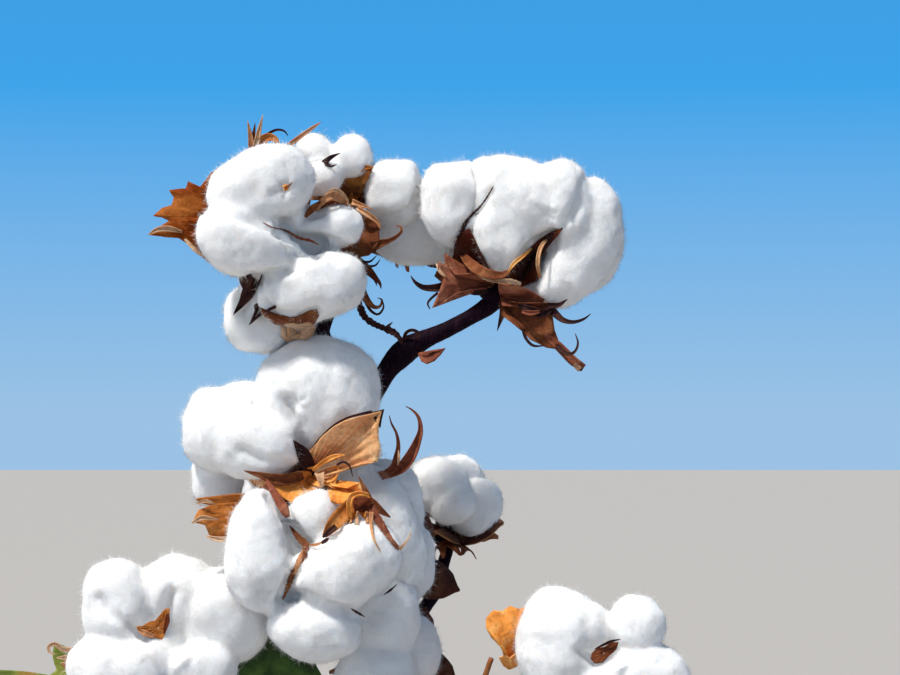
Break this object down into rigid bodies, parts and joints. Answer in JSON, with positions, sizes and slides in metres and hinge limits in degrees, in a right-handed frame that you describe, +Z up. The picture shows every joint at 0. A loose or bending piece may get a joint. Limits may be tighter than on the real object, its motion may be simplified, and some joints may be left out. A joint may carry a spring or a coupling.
{
  "type": "cotton plant",
  "caption": "Cotton plant at harvest, rooted in the ground: an upright woody stem with fruiting branches, open bolls of white lint in dried toothed burrs and a few last leaves.",
  "frame": {"origin": "centre of the flat cut under the main stem, at ground level", "axes": "+Z straight up, along the height of the plant; -Y is the side that the picture shows; +X to the right in the picture"},
  "size_m": [0.3216, 0.2772, 0.7971],
  "materials": {
    "stem_bark": "rough, purple-brown bark",
    "branch_bark": "matt, dark purple-brown, short hairs",
    "lint": "matt white fibre",
    "burr": "dry, orange-brown to dark brown, papery",
    "leaf": "satin, green to yellow and dried orange"
  },
  "bodies": {
    "root": {"main_stem": "stem_bark", "right_upper_branch": "branch_bark", "middle_branch": "branch_bark", "rear_branch": "branch_bark", "left_branch": "branch_bark", "far_right_branch": "branch_bark", "back_left_branch": "branch_bark", "back_right_branch": "branch_bark", "front_left_branch": "branch_bark", "front_right_branch": "branch_bark", "back_low_branch": "branch_bark", "left_low_branch": "branch_bark", "right_low_branch": "branch_bark", "crown_boll_cotton": "lint", "upper_back_boll_cotton": "lint", "middle_boll_cotton": "lint", "right_boll_cotton": "lint", "shaded_boll_cotton": "lint", "front_boll_cotton": "lint", "side_boll_cotton": "lint", "lower_side_boll_cotton": "lint", "left_boll_cotton": "lint", "far_right_boll_cotton": "lint", "rear_boll_cotton": "lint", "rear_low_boll_cotton": "lint", "back_left_boll_cotton": "lint", "back_right_boll_cotton": "lint", "front_left_boll_cotton": "lint", "inner_left_boll_cotton": "lint", "front_right_boll_cotton": "lint", "back_low_boll_cotton": "lint", "left_low_boll_cotton": "lint", "right_low_boll_cotton": "lint", "inner_right_boll_cotton": "lint", "crown_boll_burr": "burr", "upper_back_boll_burr": "burr", "middle_boll_burr": "burr", "right_boll_burr": "burr", "shaded_boll_burr": "burr", "front_boll_burr": "burr", "side_boll_burr": "burr", "lower_side_boll_burr": "burr", "left_boll_burr": "burr", "far_right_boll_burr": "burr", "rear_boll_burr": "burr", "rear_low_boll_burr": "burr", "back_left_boll_burr": "burr", "back_right_boll_burr": "burr", "front_left_boll_burr": "burr", "inner_left_boll_burr": "burr", "front_right_boll_burr": "burr", "back_low_boll_burr": "burr", "left_low_boll_burr": "burr", "right_low_boll_burr": "burr", "inner_right_boll_burr": "burr", "leaf_far_left": "leaf", "leaf_front_left": "leaf", "leaf_dry_right": "leaf", "leaf_low_right": "leaf", "leaf_low_left": "leaf"}
  },
  "joints": []
}
